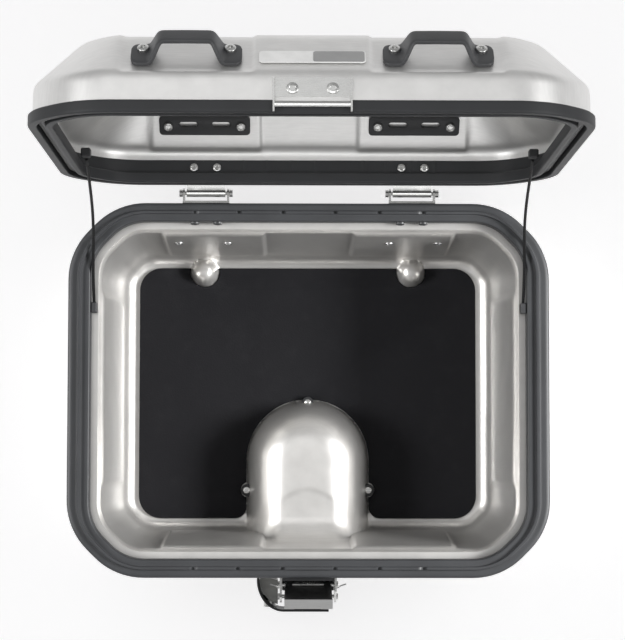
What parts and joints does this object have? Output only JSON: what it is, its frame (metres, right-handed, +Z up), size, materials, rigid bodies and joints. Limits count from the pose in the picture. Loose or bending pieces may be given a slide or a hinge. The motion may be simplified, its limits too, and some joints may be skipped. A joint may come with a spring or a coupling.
{
  "type": "motorcycle luggage case",
  "caption": "Hard aluminium motorcycle luggage case with an open hinged lid, plastic frames, lid stays, lashing loops, a front latch with lock and a catch for the carrier.",
  "frame": {"origin": "on the underside of the case floor, under the middle of the case", "axes": "+Z up, +X to the case's right seen from the latch, +Y from the latch in front to the hinges behind; the lid stands open at rest"},
  "size_m": [0.484, 0.5178, 0.5525],
  "materials": {
    "satin_aluminium": "satin pressed sheet",
    "black_plastic": "fine-grained moulding",
    "black_rubber": "matt",
    "bright_steel": "bright stainless",
    "grey_zinc": "grey painted die-casting",
    "black_cord": "braided cord"
  },
  "bodies": {
    "case": {"case_shell": "satin_aluminium", "case_frame": "black_plastic", "floor_mat": "black_rubber", "hinge_bracket_left": "bright_steel", "hinge_bracket_right": "bright_steel", "hinge_pin_left": "bright_steel", "hinge_pin_right": "bright_steel", "case_screw_left_1": "bright_steel", "case_screw_left_2": "bright_steel", "case_screw_right_1": "bright_steel", "case_screw_right_2": "bright_steel", "stay_clip_left": "black_plastic", "stay_clip_right": "black_plastic", "stay_cord_left": "black_cord", "stay_cord_right": "black_cord", "latch_base": "black_plastic", "latch_bracket": "bright_steel", "claw_pin": "bright_steel", "lever_pin": "bright_steel", "claw_spring": "bright_steel", "carrier_receiver": "black_plastic", "pawl_pin": "bright_steel", "carrier_bar_left": "bright_steel", "carrier_bar_right": "bright_steel"},
    "lid": {"lid_shell": "satin_aluminium", "lid_frame": "black_plastic", "lid_seal": "black_rubber", "hinge_leaf_left": "bright_steel", "hinge_leaf_right": "bright_steel", "lid_screw_left_1": "bright_steel", "lid_screw_left_2": "bright_steel", "lid_screw_right_1": "bright_steel", "lid_screw_right_2": "bright_steel", "loop_front_left": "black_plastic", "loop_front_right": "black_plastic", "loop_rear_left": "black_plastic", "loop_rear_right": "black_plastic", "backing_plate_front_left": "black_plastic", "backing_plate_front_right": "black_plastic", "backing_plate_rear_left": "black_plastic", "backing_plate_rear_right": "black_plastic", "loop_bolt_front_left_1": "bright_steel", "loop_bolt_front_left_2": "bright_steel", "loop_bolt_front_right_1": "bright_steel", "loop_bolt_front_right_2": "bright_steel", "loop_bolt_rear_left_1": "bright_steel", "loop_bolt_rear_left_2": "bright_steel", "loop_bolt_rear_right_1": "bright_steel", "loop_bolt_rear_right_2": "bright_steel", "striker": "bright_steel", "striker_rivet_left": "bright_steel", "striker_rivet_right": "bright_steel", "stay_eye_left": "black_plastic", "stay_eye_right": "black_plastic"},
    "claw": {"latch_claw": "bright_steel"},
    "lever": {"latch_lever": "black_plastic", "lock_housing": "grey_zinc"},
    "lock": {"lock_cylinder": "bright_steel"},
    "button": {"release_button": "black_plastic"},
    "pawl": {"carrier_pawl": "bright_steel"}
  },
  "joints": [
    {"name": "lid_hinge", "type": "hinge", "parent": "case", "child": "lid", "pos_m": [0, 0.1984, 0.1642], "axis": [1, 0, 0], "range_deg": [0, 91.9], "deforming": ["stay_cord_left", "stay_cord_right"]},
    {"name": "claw_swing", "type": "hinge", "parent": "case", "child": "claw", "pos_m": [0, -0.199, 0.104], "axis": [-1, 0, 0], "range_deg": [0, 15], "stiffness_Nm_per_rad": 0.2, "springref_deg": -17.19},
    {"name": "lever_lift", "type": "hinge", "parent": "case", "child": "lever", "pos_m": [0, -0.212, 0.096], "axis": [-1, 0, 0], "range_deg": [0, 62]},
    {"name": "lock_turn", "type": "hinge", "parent": "lever", "child": "lock", "pos_m": [-0.0395, -0.212, 0.074], "axis": [0, 1, 0], "range_deg": [0, 90]},
    {"name": "button_press", "type": "slide", "parent": "case", "child": "button", "axis": [0, 1, 0], "range_m": [0, 0.005], "stiffness_N_per_m": 2000, "springref_m": -0.002},
    {"name": "pawl_turn", "type": "hinge", "parent": "case", "child": "pawl", "pos_m": [0, -0.1, 0.026], "axis": [-1, 0, 0], "range_deg": [0, 30.2]}
  ],
  "couplings": [
    {"joint": "pawl_turn", "follows": "button_press", "rad_per_m": 105.3}
  ]
}
